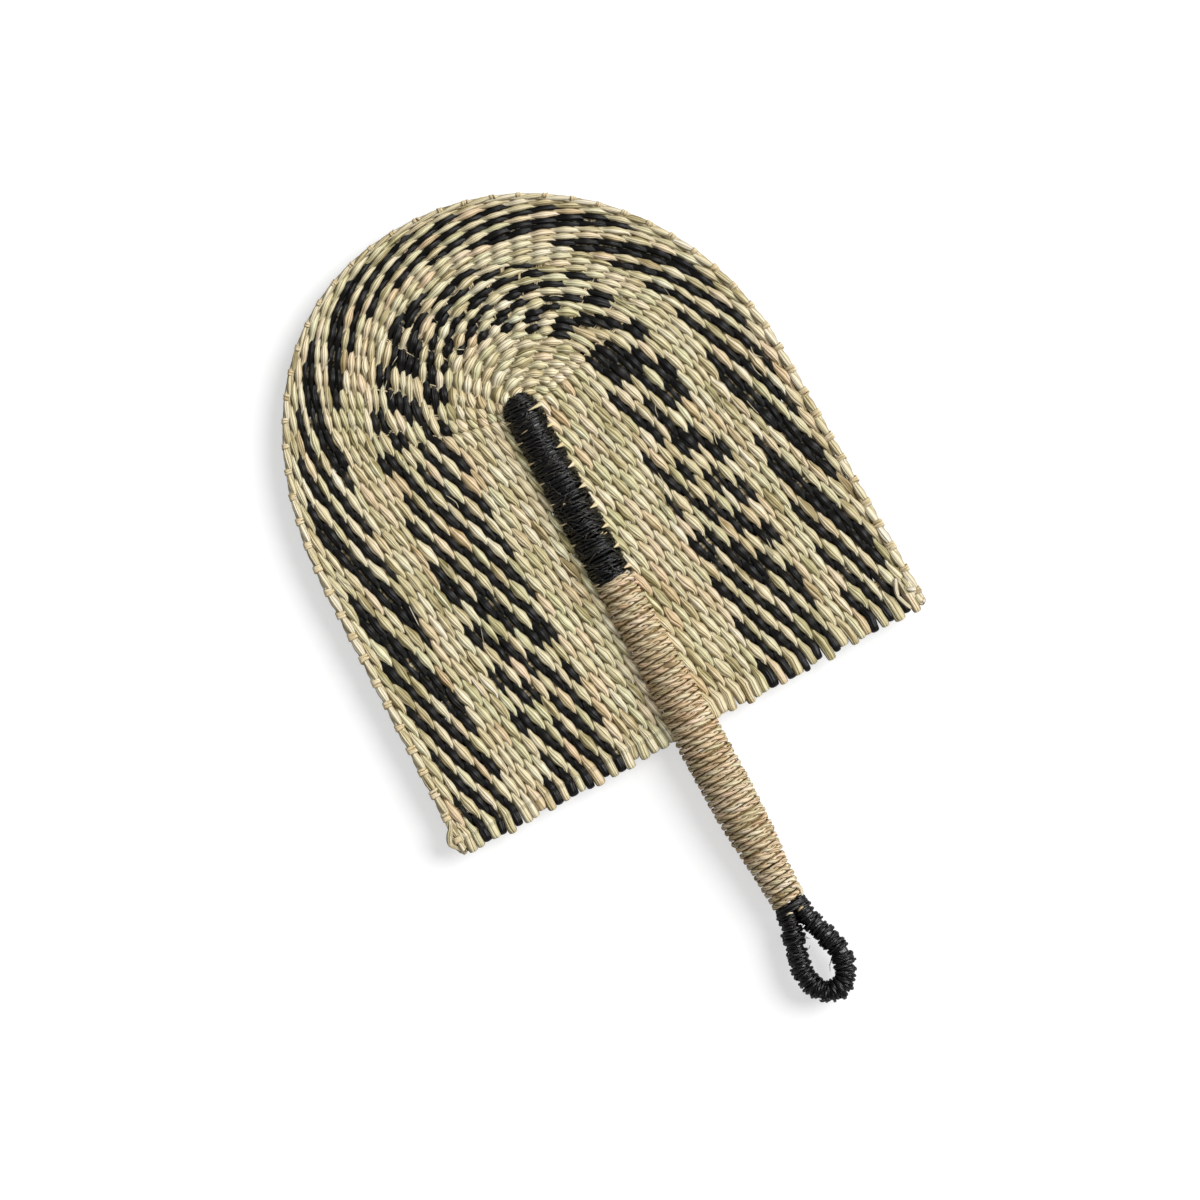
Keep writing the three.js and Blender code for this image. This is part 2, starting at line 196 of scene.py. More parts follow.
# Waves in which rows stray: their size in rows, their turn for each row and warp, their start
STRAY_WAVES = ((0.07, 1.9, 0.31, 1), (0.05, 2.9, -0.57, 2), (0.06, 0.8, 0.9, 0))
STEADY_INSIDE, STEADY_OUTSIDE = 3, 2  # rows in which they fade out to handle and rim


def hand_made(rows_out, warp):
    """How far a row strays from its even place, in rows, and less so at the two edges."""
    stray = sum(size * np.sin(by_row * rows_out + by_warp * warp + start)
                for size, by_row, by_warp, start in STRAY_WAVES)
    return stray * np.minimum(
        1, np.minimum(rows_out / STEADY_INSIDE, (ROWS - rows_out) / STEADY_OUTSIDE))


def on_blade(rows_out, warp):
    """A point of the plan, a number of rows out from the throat on a warp's line."""
    inner, outer, arch = station(warp)
    even = (rows_out + hand_made(rows_out, warp)) / ROWS
    share = even + ARCH_CROWDING * arch * even * (1 - even)
    return inner + (outer - inner) * share[..., None]


def row_room(inner_edge, outer_edge, warp):
    """The two edges of a row at a warp number, and the width between them."""
    inside, outside = on_blade(inner_edge, warp), on_blade(outer_edge, warp)
    return inside, outside, np.linalg.norm(outside - inside, axis=-1)


def sideways(out):
    return np.array([-out[1], out[0]])


# Lines
def smooth(points, steps):
    """A line through the points without corners."""
    padded = np.concatenate([[2 * points[0] - points[1]], points, [2 * points[-1] - points[-2]]])
    t = np.linspace(0, 1, steps, endpoint=False)[:, None]
    spans = [0.5 * (2 * b + (c - a) * t + (2 * a - 5 * b + 4 * c - d) * t**2
                    + (3 * b - a - 3 * c + d) * t**3)
             for a, b, c, d in zip(padded, padded[1:], padded[2:], padded[3:])]
    return np.concatenate([*spans, points[-1:]])


def carried(points):
    """The outward side at each point of a bent line, carried along it without twisting."""
    outward, sides = UP, []
    for way in unit(np.gradient(points, axis=0)):
        outward = unit(outward - way * (outward @ way))
        sides.append(outward)
    return np.array(sides)


def swaying(rng, length, size):
    """Slow random sway along a line, with a value at each of its points."""
    def sway(amount, step):
        count = max(int(length / step), 4)
        knots = rng.normal(0, 1, count)
        return amount * np.interp(np.linspace(0, count - 1, size), np.arange(count), knots)

    return sway


# Strands: lobed tubes that carry numbers for their material
def ring(rng, lobes, depth):
    """Angles and radii round a strand. A lobe is a bundle of fibres between two creases."""
    edge = np.arange(lobes) + rng.uniform(-0.35, 0.35, lobes)
    width = np.diff(np.append(edge, edge[0] + lobes))
    place = np.array([0, CREASE_SHARE, 1 - CREASE_SHARE])
    angle = (edge[:, None] + width[:, None] * place) * 2 * math.pi / lobes
    radius = np.tile([1 - depth, 1, 1], lobes)
    # the last: 1 at the bottom of each crease, where painted shade goes
    return angle.ravel(), radius, np.tile([1.0, 0, 0], lobes)


def column(values, count):
    return np.broadcast_to(np.asarray(values, float), (count,))[:, None]


def strand(centre, outward, half_wide, half_tall, rng, lobes, depth, twist=0.0, tone=0.5,
           blush=0.5, dye=NATURAL, closed=False):
    """A strand along a line of points. Its flat face looks outward."""
    count = len(centre)
    along = unit(np.roll(centre, -1, axis=0) - np.roll(centre, 1, axis=0) if closed
                 else np.gradient(centre, axis=0))
    wide = unit(np.cross(np.broadcast_to(outward, centre.shape), along))
    tall = np.cross(along, wide)
    angle, radius, crease_and_side_shade = ring(rng, lobes, depth)
    turned = angle + column(twist, count)
    across = column(half_wide, count) * radius * np.cos(turned)
    over = column(half_tall, count) * radius * np.sin(turned)
    points = centre[:, None] + wide[:, None] * across[..., None] + tall[:, None] * over[..., None]
    run = run_of(centre) + rng.uniform(0, 500)
    sway = swaying(rng, run[-1] - run[0], count)
    own = [sway(1, LOBE_STRETCH) for _ in range(lobes)]
    # each lobe's own random tone, made darker at its creases as painted shade
    own = np.repeat(np.stack(own, -1), 3, axis=1) * LOBE_TONE - CREASE_TONE * crease_and_side_shade
    even = 0 * angle  # the same all round
    girth = FIBRE_ROUND * np.stack([np.cos(angle), np.sin(angle)])
    return {
        "points": points,
        "closed": closed,
        "fibre": np.stack(np.broadcast_arrays(*girth, run[:, None]), -1),
        # painted shade: darker at the creases and at the strand's two sides, where strands meet
        "crease_and_side_shade": np.maximum(crease_and_side_shade, np.abs(np.cos(turned)) ** SIDE_SHADE),
        "tone": column(tone, count) + own,
        "dye": column(dye, count) + even,
        "blush": column(blush, count) + even,
    }


def placed(name, data):
    made = bpy.data.objects.new(name, data)
    bpy.context.scene.collection.objects.link(made)
    return made


def build(name, strands, material, replaces=()):
    """One piece out of strands, put into the row frame."""
    quads, caps, offset = [], [], 0
    for made in strands:
        rings, sides = made["points"].shape[:2]
        near = np.arange(rings if made["closed"] else rings - 1)[:, None] * sides
        far = (near + sides) % (rings * sides)
        i = np.arange(sides)
        j = (i + 1) % sides
        faces = np.stack([near + i, near + j, far + j, far + i], -1)
        quads.append(faces.reshape(-1, 4) + offset)
        if not made["closed"]:
            caps += [i[::-1] + offset, i + (rings - 1) * sides + offset]
        offset += rings * sides
    quads = np.concatenate(quads)
    corners = np.concatenate([quads.ravel(), *caps]).astype(np.int32)
    sizes = np.append(np.full(len(quads), 4), [len(cap) for cap in caps]).astype(np.int32)
    starts = np.append(0, np.cumsum(sizes)[:-1]).astype(np.int32)
    points = np.concatenate([made["points"].reshape(-1, 3) for made in strands])
    points = (points * MM + HANDLE_TOP).astype(np.float32)

    mesh = bpy.data.meshes.new(name)
    mesh.vertices.add(len(points))
    mesh.vertices.foreach_set("co", points.ravel())
    mesh.loops.add(len(corners))
    mesh.loops.foreach_set("vertex_index", corners)
    mesh.polygons.add(len(sizes))
    mesh.polygons.foreach_set("loop_start", starts)
    mesh.polygons.foreach_set("use_smooth", np.ones(len(sizes), bool))
    mesh.update(calc_edges=True)
    for key in (*STEM_NUMBERS, "fibre"):
        values = np.concatenate([made[key].ravel() for made in strands]).astype(np.float32)
        kind, field = ("FLOAT_VECTOR", "vector") if key == "fibre" else ("FLOAT", "value")
        mesh.attributes.new(key, kind, "POINT").data.foreach_set(field, values)
    mesh.materials.append(material)
    piece = placed(name, mesh)
    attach(piece, "root")
    if replaces:
        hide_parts(*replaces)


# Materials
def linear(hex_colour):
    channels = [int(hex_colour[i : i + 2], 16) / 255 for i in (1, 3, 5)]
    return [c / 12.92 if c <= 0.04045 else ((c + 0.055) / 1.055) ** 2.4 for c in channels] + [1]


def fill(made, inputs):
    for key, value in inputs.items():
        if isinstance(value, bpy.types.NodeSocket):
            made.id_data.links.new(value, made.inputs[key])
        else:
            made.inputs[key].default_value = value
    return made


def node(tree, kind, inputs, **settings):
    made = tree.nodes.new("ShaderNode" + kind)
    for key, value in settings.items():
        setattr(made, key, value)
    return fill(made, inputs)


def set_stops(ramp, stops):
    elements = ramp.color_ramp.elements
    for element, (place, colour) in zip(elements, (stops[0], stops[-1])):
        element.position, element.color = place, linear(colour)
    for place, colour in stops[1:-1]:
        elements.new(place).color = linear(colour)
    return ramp.outputs["Color"]


def new_material(name):
    material = bpy.data.materials.new(name)
    material.use_nodes = True
    tree = material.node_tree
    return material, tree, tree.nodes["Principled BSDF"]


FIRST_COLOUR, SECOND_COLOUR, MIXED_COLOUR = 6, 7, 2  # the colour sockets of a mix node
STRAW_IOR = 1.5
STREAK_LENGTH, STREAK_TONE = 24, 1.1
PATCH_WIDTH, PATCH_LENGTH = 2.5, 12.5  # of paler and darker places
PATCH_TONE = 0.16
TONE_LEVEL = 0.6  # brings their sum to the middle of a stem's colours
SAGE_TO_PINK = ((0.0, "#f3f8e9"), (0.5, "#fffdf6"), (1.0, "#ffeee4"))
# painted shade: the brown that creases and strand sides are darkened towards
CREASE_SHADE = "#7c6839"
STREAK_RELIEF = 0.5
# near black dye; the grey at the highest streaks is painted sheen on the ridges
BLACK_STEMS_AND_SHEEN = ((0.4, "#000000"), (0.53, "#060505"), (0.7, "#2e2c29"))


def straw_material(name, natural, roughness, streak_mm, crease_shade, bump, gloss=0.35,
                   black=BLACK_STEMS_AND_SHEEN):
    """Dried grass stems. Streaks a fibre wide run along them, tone makes each one paler or darker,
    blush turns it from green to pink, and dye picks the black colours. Shade is painted in: the
    creases, and the sides where strands meet, are darkened towards a brown by crease_shade, and
    the greyest streaks of the black colours are painted sheen."""
    material, tree, shader = new_material(name)
    fibre = node(tree, "Attribute", {}, attribute_name="fibre").outputs["Vector"]
    crease_and_side_shade, tone, dye, blush = (
        node(tree, "Attribute", {}, attribute_name=key).outputs["Fac"] for key in STEM_NUMBERS)
    fine = (1 / streak_mm, 1 / streak_mm, 1 / STREAK_LENGTH)
    along = node(tree, "VectorMath", {0: fibre, 1: fine}, operation="MULTIPLY")
    streaks = node(tree, "TexNoise", {
        "Vector": along.outputs[0], "Scale": 1.0, "Detail": 3.0, "Roughness": 0.6,
    }).outputs["Fac"]
    wide = (1 / PATCH_WIDTH, 1 / PATCH_WIDTH, 1 / PATCH_LENGTH)
    broad = node(tree, "VectorMath", {0: fibre, 1: wide}, operation="MULTIPLY")
    patches = node(tree, "TexNoise", {"Vector": broad.outputs[0], "Scale": 1.0, "Detail": 2.0})
    streaked = node(tree, "Math", {0: streaks, 1: STREAK_TONE, 2: tone}, operation="MULTIPLY_ADD")
    patched = node(tree, "Math", {
        0: patches.outputs["Fac"], 1: PATCH_TONE, 2: streaked.outputs[0],
    }, operation="MULTIPLY_ADD")
    level = node(tree, "Math", {0: patched.outputs[0], 1: TONE_LEVEL}, operation="SUBTRACT")
    pale = set_stops(node(tree, "ValToRGB", {"Fac": level.outputs[0]}), natural)
    tint = set_stops(node(tree, "ValToRGB", {"Fac": blush}), SAGE_TO_PINK)
    tinted = node(tree, "VectorMath", {0: pale, 1: tint}, operation="MULTIPLY")
    # the black dye, with painted sheen in the grey of its highest streaks
    dark = set_stops(node(tree, "ValToRGB", {"Fac": streaks}), black)
    dyed = node(tree, "Mix", {
        0: dye, FIRST_COLOUR: tinted.outputs[0], SECOND_COLOUR: dark,
    }, data_type="RGBA")
    # painted shade: creases and strand sides multiplied towards the brown, by crease_shade
    shade = node(tree, "Math", {0: crease_and_side_shade, 1: crease_shade}, operation="MULTIPLY")
    shaded = node(tree, "Mix", {
        0: shade.outputs[0], FIRST_COLOUR: dyed.outputs[MIXED_COLOUR],
        SECOND_COLOUR: linear(CREASE_SHADE),
    }, data_type="RGBA", blend_type="MULTIPLY")
    rough = node(tree, "Math", {
        0: dye, 1: roughness[1] - roughness[0], 2: roughness[0],
    }, operation="MULTIPLY_ADD")
    ridges = node(tree, "Bump", {
        "Height": streaks, "Strength": bump, "Distance": STREAK_RELIEF * MM,
    })
    fill(shader, {
        "Base Color": shaded.outputs[MIXED_COLOUR], "Roughness": rough.outputs[0],
        "IOR": STRAW_IOR, "Specular IOR Level": gloss, "Normal": ridges.outputs["Normal"],
    })
    return material


# Split sedge, twined damp and dried: satin, sage to straw yellow, with a few pinkish stems
blade_grass = straw_material("split_sedge_grass", (
    (0.0, "#6d5f3a"), (0.2, "#b0a274"), (0.38, "#e1d4ab"), (0.55, "#f5ebca"), (0.8, "#fcf3db"),
    (1.0, "#fffbee"),
), (0.55, 0.4), 0.5, 0.85, 0.85, 0.32)
# Whole fine stems of the warp: smooth and pale, a little pink beside the greener rows
pale_stem = straw_material("fine_warp_stems", (
    (0.1, "#a98f66"), (0.4, "#dcc79c"), (0.7, "#eddbb4"), (1.0, "#f4e9ce"),
), (0.5, 0.42), 0.4, 0.5, 0.5)
# Grass cord of the handle: twisted by hand, satin, warmer and browner than the blade
cord_grass = straw_material("hand_twisted_grass_cord", (
    (0.0, "#6b5a3c"), (0.2, "#ab9870"), (0.4, "#e0cfaa"), (0.6, "#f4e5c8"), (0.8, "#fcf0da"),
    (1.0, "#fff8ea"),
), (0.55, 0.42), 0.5, 1.0, 0.7)
# Black-dyed grass, wound wet: near black, with a grey gloss on its ridges; the grey of its highest
# streaks, where the ridges stand, is painted sheen
black_grass = straw_material("black_dyed_grass", (
    (0.1, "#a98f66"), (0.5, "#d9c69b"), (1.0, "#efe2c2"),
), (0.55, 0.24), 0.35, 0.9, 0.6, 0.55, ((0.42, "#000000"), (0.54, "#040404"), (0.7, "#29292b")))


# Weaving draft: which strand shows at each stitch. They alternate, apart from the places where
# one of them shows twice.
def draft(first, twice, places):
    waiting, colour, shown = list(twice), first, []
    for place in places:
        shown.append(colour)
        if waiting and place >= waiting[0]:
            waiting.pop(0)
        else:
            colour = 1 - colour
    return np.array(shown, float)


# Stitches of the draft's inner rows on the arch's left shoulder, crown and right shoulder, and the
# warp numbers between those parts
ARCH_STITCHES = (
    (2, 3, 1), (2, 4, 2), (3, 5, 2), (3, 6, 2), (3, 6, 2), (3, 8, 2), (3, 12, 1), (2, 11, 1),
    (3, 12, 1), (3, 12, 2), (3, 11, 1), (4, 10, 2), (4, 10, 2), (4, 11, 2), (4, 9, 2),
)
ARCH_PARTS = (CROSS_WARPS - 0.5, 21.5, 36, CROSS_WARPS + SPOKES - 0.5)
MIDDLE_BAND = {
    # row: colour of its first stitch, and the warps from which a colour shows twice
    6: (BLACK, (43,)),
    7: (NATURAL, (4, 6, 20, 40, 44, 47, 49)),
    8: (BLACK, (40, 42, 45)),
    9: (NATURAL, (40, 44)),
    10: (BLACK, (3, 7, 15, 22, 41, 44, 46, 50)),
    11: (NATURAL, (2, 8, 14, 22, 51)),
    12: (BLACK, (42,)),
    13: (NATURAL, (23, 33, 42, 44)),
    14: (BLACK, (1, 9, 13, 23, 42, 52)),
}
BARE_OF_BLACK = (38, 45.5)  # warps between which the band's outermost row has none
STEP_OUT = 21.5  # warp from which the draft's inner rows lie one row farther out
OUTER_BAND = range(19, 25)  # its figures move on by one warp for each row outwards
OUTER_TWICE = (10, 12, 14, 21, 23, 25, 36, 38, 40, 49, 51, 53)


def inner_stitches(number):
    """Warp numbers and colours, in front and behind, of one of the draft's inner rows."""
    ends = np.append(0, np.cumsum(ARCH_STITCHES[number]))
    arch = np.interp(np.arange(ends[-1]) + 0.5, ends, ARCH_PARTS)
    sides = np.arange(CROSS_WARPS)
    warps = np.concatenate([sides, arch, WARP_ENDS - 1 - sides[::-1]])
    front = back = np.full(len(warps), NATURAL)
    if number in MIDDLE_BAND:
        front = draft(*MIDDLE_BAND[number], warps)
        back = 1 - front
    if number == max(MIDDLE_BAND):
        bare = (warps > BARE_OF_BLACK[0]) & (warps < BARE_OF_BLACK[1])
        front[bare] = back[bare] = NATURAL
    return np.stack([warps, front, back])


def row_stitches(row):
    """Warp numbers of a row's stitches, and their colours in front and behind."""
    outermost = len(ARCH_STITCHES) - 1
    if row <= outermost + 1:
        left, right = inner_stitches(min(row, outermost)), inner_stitches(max(row - 1, 0))
        if row > outermost:
            left[1:] = NATURAL
        return np.hstack([left[:, left[0] < STEP_OUT], right[:, right[0] > STEP_OUT]])
    warps = np.arange(WARP_ENDS)
    front = back = np.full(WARP_ENDS, NATURAL)
    if row in OUTER_BAND:
        first = OUTER_BAND[-1] + 1 - row
        front = draft(BLACK, OUTER_TWICE, np.arange(WARP_ENDS + first))[first:]
        back = 1 - front
    return np.stack([warps, front, back])


AGAINST_HANDLE = 0.46  # of a row lies under the handle
DRAWN_IN = 5  # rows that are a little wider for that
SWING_CORNER = 0.97  # nearly straight from side to side, with small rounds
ARCH_LEAN, ARCH_CROSSING = 0.22, 0.15  # more swing and wider crossings on the arch
IN_FRONT = -0.35  # a strand changes its colour behind, out of sight
UNEVEN, BLACK_SLIP = 0.12, 0.08  # of swing, place and height, from stitch to stitch
STRAND_HEIGHT = 1.15  # half, where two strands cross
FRONT_FLAT, BLACK_FLAT = 0.15, 0.2  # flatter over a warp, and in a black stem
NATURAL_WIDE = 1.02
BLACK_WIDE, BLACK_NARROW = 1.12, 0.25  # black stems pack closer over a warp
PINCHED, PINCHES = 0.45, 0.12  # width lost at some black stitches, so that the warp shows
TONE, TONE_SPREAD, DARKEST_TONE = 0.5, 0.09, 0.38
BLUSH, BLUSH_SPREAD = 0.45, 0.24
TURN_STEPS = 8
TURN_BULGE, TURN_HEIGHT, TURN_PINCH = 2.3, 0.95, 0.12


def row_edge(row):
    """Where a row begins, in rows out from the throat."""
    return row - AGAINST_HANDLE * max(0, 1 - row / DRAWN_IN)


def side_to_side(phase):
    return np.arcsin(SWING_CORNER * np.sin(phase)) / math.asin(SWING_CORNER)


def half_row(row, rng, offset, warps, front, back):
    """One strand from the blade's left foot to its right: in front at every other warp."""
    count = len(warps)
    place = np.arange((count - 1) * STEPS + 1) / STEPS
    warp = np.interp(place, np.arange(count), warps)
    inside, outside, pitch = row_room(row_edge(row), row_edge(row + 1), warp)
    out = raised(unit(outside - inside))
    phase = (place + offset) * math.pi
    over = np.cos(phase)
    rise = np.sign(over) * np.abs(over) ** CROSSING_DIP
    in_front = over > IN_FRONT
    ahead = 2 * np.round((place + offset) / 2) - offset
    behind = 2 * np.round((place + offset - 1) / 2) + 1 - offset
    at = np.clip(np.where(in_front, ahead, behind), 0, count - 1).astype(int)
    dye = np.where(in_front, front[at], back[at])

    def by_stitch(spread_of):
        return np.interp(place, np.arange(count), rng.normal(0, spread_of, count))

    flat = np.abs(over) ** CROSSING_TAPER
    on_arch = station(warp)[2]
    swing = STRAND_SWING * (1 + ARCH_LEAN * on_arch) * pitch * (1 + by_stitch(UNEVEN))
    slip = by_stitch(UNEVEN) + by_stitch(BLACK_SLIP) * dye
    centre = raised((inside + outside) / 2) + out * (side_to_side(phase) * swing + slip)[:, None]
    centre += UP * (rise * (STRAND_RISE + by_stitch(UNEVEN)))[:, None]
    crossing = CROSSING_WIDTH + ARCH_CROSSING * on_arch
    wide = 0.5 * pitch * (crossing + (FRONT_WIDTH - crossing) * flat)
    pinched = PINCHED * (rng.random(count) < PINCHES)
    black_width = BLACK_WIDE - (BLACK_NARROW + np.interp(place, np.arange(count), pinched)) * flat
    tones = np.maximum(rng.normal(TONE, TONE_SPREAD, count), DARKEST_TONE)
    blushes = rng.normal(BLUSH, BLUSH_SPREAD, count)
    return {
        "centre": centre,
        "outward": np.tile(UP * (1 - 2 * offset), (len(place), 1)),
        "half_wide": wide * (1 + by_stitch(0.07)) * np.where(
            dye > 0.5, black_width, NATURAL_WIDE),
        "half_tall": (STRAND_HEIGHT - FRONT_FLAT * flat) * (1 - BLACK_FLAT * dye),
        "twist": by_stitch(0.2),
        "tone": tones[at],
        "blush": blushes[at],
        "dye": dye,
    }


def foot_turn(row, rng, end, first, second):
    """The turn of a row's strand round the blade's bottom edge, at one end of its halves."""
    top, bottom = ({key: values[end] for key, values in half.items()} for half in (first, second))
    foot_warp = FOOT_WARP if end == 0 else WARP_ENDS - 1 - FOOT_WARP
    inside, outside, pitch = row_room(row_edge(row), row_edge(row + 1), foot_warp)
    foot = raised((inside + outside) / 2)
    foot[:2] += rng.normal(0, 0.45), rng.uniform(-1.3, 2.2)
    face = UP * np.sign(top["centre"][2])
    same = np.sign(face @ top["outward"])
    angle = np.linspace(0, math.pi, TURN_STEPS)[:, None]
    arc = foot + face * STRAND_RISE * np.cos(angle) - TO_TOP * TURN_BULGE * np.sin(angle)
    way = np.linspace(0, 1, 4)[1:-1, None]
    before = top["centre"] * (1 - way) + arc[0] * way
    after = arc[-1] * (1 - way) + bottom["centre"] * way
    centre = np.concatenate([before, arc, after])
    count = len(centre)
    outward = same * np.concatenate([
        [face, face], face * np.cos(angle) - TO_TOP * np.sin(angle), [-face, -face],
    ])
    half = 0.5 * pitch * rng.uniform(1.0, 1.16)
    blend = np.linspace(0, 1, count)
    switch = rng.uniform(0.55, 0.75)
    late = blend > (switch if face[2] > 0 else 1 - switch)
    return {
        "centre": centre,
        "outward": outward,
        "half_wide": half * (1 - TURN_PINCH * np.sin(math.pi * blend) ** 4),
        "half_tall": np.full(count, TURN_HEIGHT),
        "twist": top["twist"] * (1 - blend) + bottom["twist"] * blend,
        **{key: np.where(late, bottom[key], top[key]) for key in ("tone", "blush", "dye")},
    }


def twined_row(row):
    rng = np.random.default_rng(100 + row)
    ahead, behind = (half_row(row, rng, offset, *row_stitches(row)) for offset in (0, 1))
    right, left = foot_turn(row, rng, -1, ahead, behind), foot_turn(row, rng, 0, behind, ahead)
    whole = {
        key: np.concatenate([ahead[key], right[key], behind[key][::-1], left[key]])
        for key in ahead
    }
    return strand(**whole, rng=rng, lobes=8, depth=0.2, closed=True)


for row in range(ROWS - 1):
    name = f"{row + 1:02d}"
    build("row_strands_" + name, [twined_row(row)], blade_grass, ["twined_row_" + name])


# Rim: bundles of stems that lie along it under the folded warp ends. Round the arch each one
# slants out from tie to tie.
RIM_MIDDLE = 0.45  # of the rim row's width, out from its inner edge
RIM_SWING = 0.3
RIM_SPLAY = 0.2  # of a face's two bundles, where they don't slant
RIM_LIFT, RIM_BULGE = 1.2, 0.9  # of a bundle's middle, and its gain between two ties
RIM_NARROW, RIM_FULL = 0.31, 0.19  # half the width at a tie, and its gain between two
RIM_TONE, RIM_TONE_SPREAD = 0.62, 0.14
RIM_STITCHES = 80  # a few more than there are


def rim_bundle(seed, offset, face):
    rng = np.random.default_rng(seed)
    warp = np.arange(FOOT_WARP - 0.1, WARP_ENDS - 1 - FOOT_WARP + 0.12, 0.1)
    phase = (warp + 0.5 + offset) * math.pi
    inside, outside, pitch = row_room(ROWS - 1, ROWS, warp)
    slant = 0.5 + 0.5 * station(warp)[2]
    in_front = np.cos(phase)
    across = RIM_MIDDLE + RIM_SWING * side_to_side(phase) * slant + RIM_SPLAY * (
        offset - 0.5) * (1 - slant)
    plan = inside + (outside - inside) * across[:, None]
    lift = face * (RIM_LIFT + RIM_BULGE * in_front * (0.4 + 0.6 * slant))
    stitch = np.floor(phase / math.pi + 0.5).astype(int)
    tones = rng.normal(RIM_TONE, RIM_TONE_SPREAD, RIM_STITCHES)
    wide = pitch * (RIM_NARROW + RIM_FULL * np.abs(in_front) ** CROSSING_TAPER)
    return strand(raised(plan, lift), UP * face, wide, 1.0, rng, lobes=7, depth=0.22,
                  tone=tones[stitch % RIM_STITCHES],
                  twist=swaying(rng, 900, len(warp))(0.2, 30))


rim_bundles = [rim_bundle(7 + i, i % 2, 1 if i < 2 else -1) for i in range(4)]
build("rim_stems", rim_bundles, blade_grass, ["rim_row"])


# Warp straws: bundles of fine stems that lie side by side
STEM_RADIUS = 0.52
STEM_SPACING = 1.75  # of that radius
CROSS_STEMS, CROSS_HEIGHT = 4, 1.6  # half the height, as several stems lie on one another
SPOKE_STEMS, SPOKE_HEIGHT = 3, 0.9
TIE_HEIGHT = 3.2  # of a folded end
TIE_GATHER = 0.05  # how much closer its stems lie at each step of its line
FOLD_WIDE, FOLD_HEIGHT = 0.45, 0.48  # a folded stem is pressed wide and flat
FOLD_FADE = 8  # sections in which it gets so
STEM_TONE, STEM_TONE_SPREAD = 0.7, 0.13


def fold_over_rim(warp, across, rng):
    """The end of one stem, from the blade's middle plane round the rim and over it."""
    inside, outside, pitch = row_room(ROWS - 1, ROWS, warp)
    out = unit(outside - inside)
    aside = sideways(out)
    on_arch = station(warp)[2]
    reach = pitch * rng.uniform(0.7, 1.05) * (1 - 0.4 * on_arch)
    pulled_down = max(on_arch, 0.8 * (warp > WARP_ENDS / 2))
    top = TIE_HEIGHT - rng.uniform(0.3, 0.8) * pulled_down
    steps = (  # how far out from the rim, and how high
        (-0.6, 0), (-0.15, 0.15), (0.1, 1.0), (0.0, 0.68 * top), (-0.4, 0.93 * top),
        (-0.35 * reach, top), (-0.7 * reach, 0.96 * top), (-0.95 * reach, 0.78 * top),
        (-1.08 * reach, 0.5 * top),
    )
    lean = rng.normal(0, 0.7)
    points = []
    for k, (away, height) in enumerate(steps):
        beside = across * (1 - TIE_GATHER * k) + lean * k / len(steps)
        points.append([*(outside + out * away + aside * beside), height])
    return np.array(points)


def warp_stem(ends, middle, across, rng, height):
    """A stem that is folded over the rim at both of its ends."""
    start, end = fold_over_rim(ends[0], across, rng), fold_over_rim(ends[1], -across, rng)
    hook = smooth(start[::-1], 4)
    points = np.concatenate([hook, raised(np.array(middle)), smooth(end, 4)])
    edge = np.minimum(np.arange(len(points)), np.arange(len(points))[::-1])
    folded = np.clip((len(hook) - edge) / FOLD_FADE, 0, 1)
    return strand(points, carried(points), STEM_RADIUS * (1 + FOLD_WIDE * folded),
                  height * (1 - folded) + FOLD_HEIGHT * folded, rng, lobes=4, depth=0.16,
                  tone=rng.normal(STEM_TONE, STEM_TONE_SPREAD))


def rim_to_rim(legs, foot, across):
    """A stem's line between its two folds: in along one leg and out along the other."""
    points = []
    for (inner, outer), way in zip(legs, (1, -1)):
        aside = sideways(unit(outer - inner)) * across * way
        points += [inner + (outer - inner) * share + aside for share in (0.96, 0.5, foot)[::way]]
    return points


def bundle(ends, legs, foot, stems, height, seed):
    """Stems side by side along two legs, from one warp number's rim end to another's."""
    rng = np.random.default_rng(seed)
    places = (np.arange(stems) - (stems - 1) / 2) * STEM_SPACING * STEM_RADIUS
    return [warp_stem(ends, rim_to_rim(legs, foot, across), across, rng, height)
            for across in places]


for i in range(CROSS_WARPS):
    name = f"{i + 1:02d}"
    ends = (i, WARP_ENDS - 1 - i)
    legs = [station(at)[:2] for at in ends]
    stems = bundle(ends, legs, 0.0, CROSS_STEMS, CROSS_HEIGHT, 300 + i)
    build("cross_stems_" + name, stems, pale_stem, ["cross_warp_" + name])

for i in range(SPOKES // 2):
    name = f"{i + 1:02d}"
    group, pair = divmod(i, len(SPOKE_GROUP))
    ends = [CROSS_WARPS + group * GROUP_SPOKES + place for place in SPOKE_GROUP[pair]]
    start = DEEP_SPOKE_START if ends[1] > ends[0] + 1 else SHORT_SPOKE_START
    legs = [(on_blade(start, at), on_blade(ROWS, at)) for at in ends]
    stems = bundle(ends, legs, 0.03, SPOKE_STEMS, SPOKE_HEIGHT, 340 + i)
    build("spoke_stems_" + name, stems, pale_stem, ["arch_spoke_pair_" + name])


# Handle: bindings that run round it and down it
DOME = TOP_RADIUS * math.pi / 2  # length of the rounded top end's side
SHORT = np.linspace(-1, 1, 9)  # sections of a short stem, from end to end


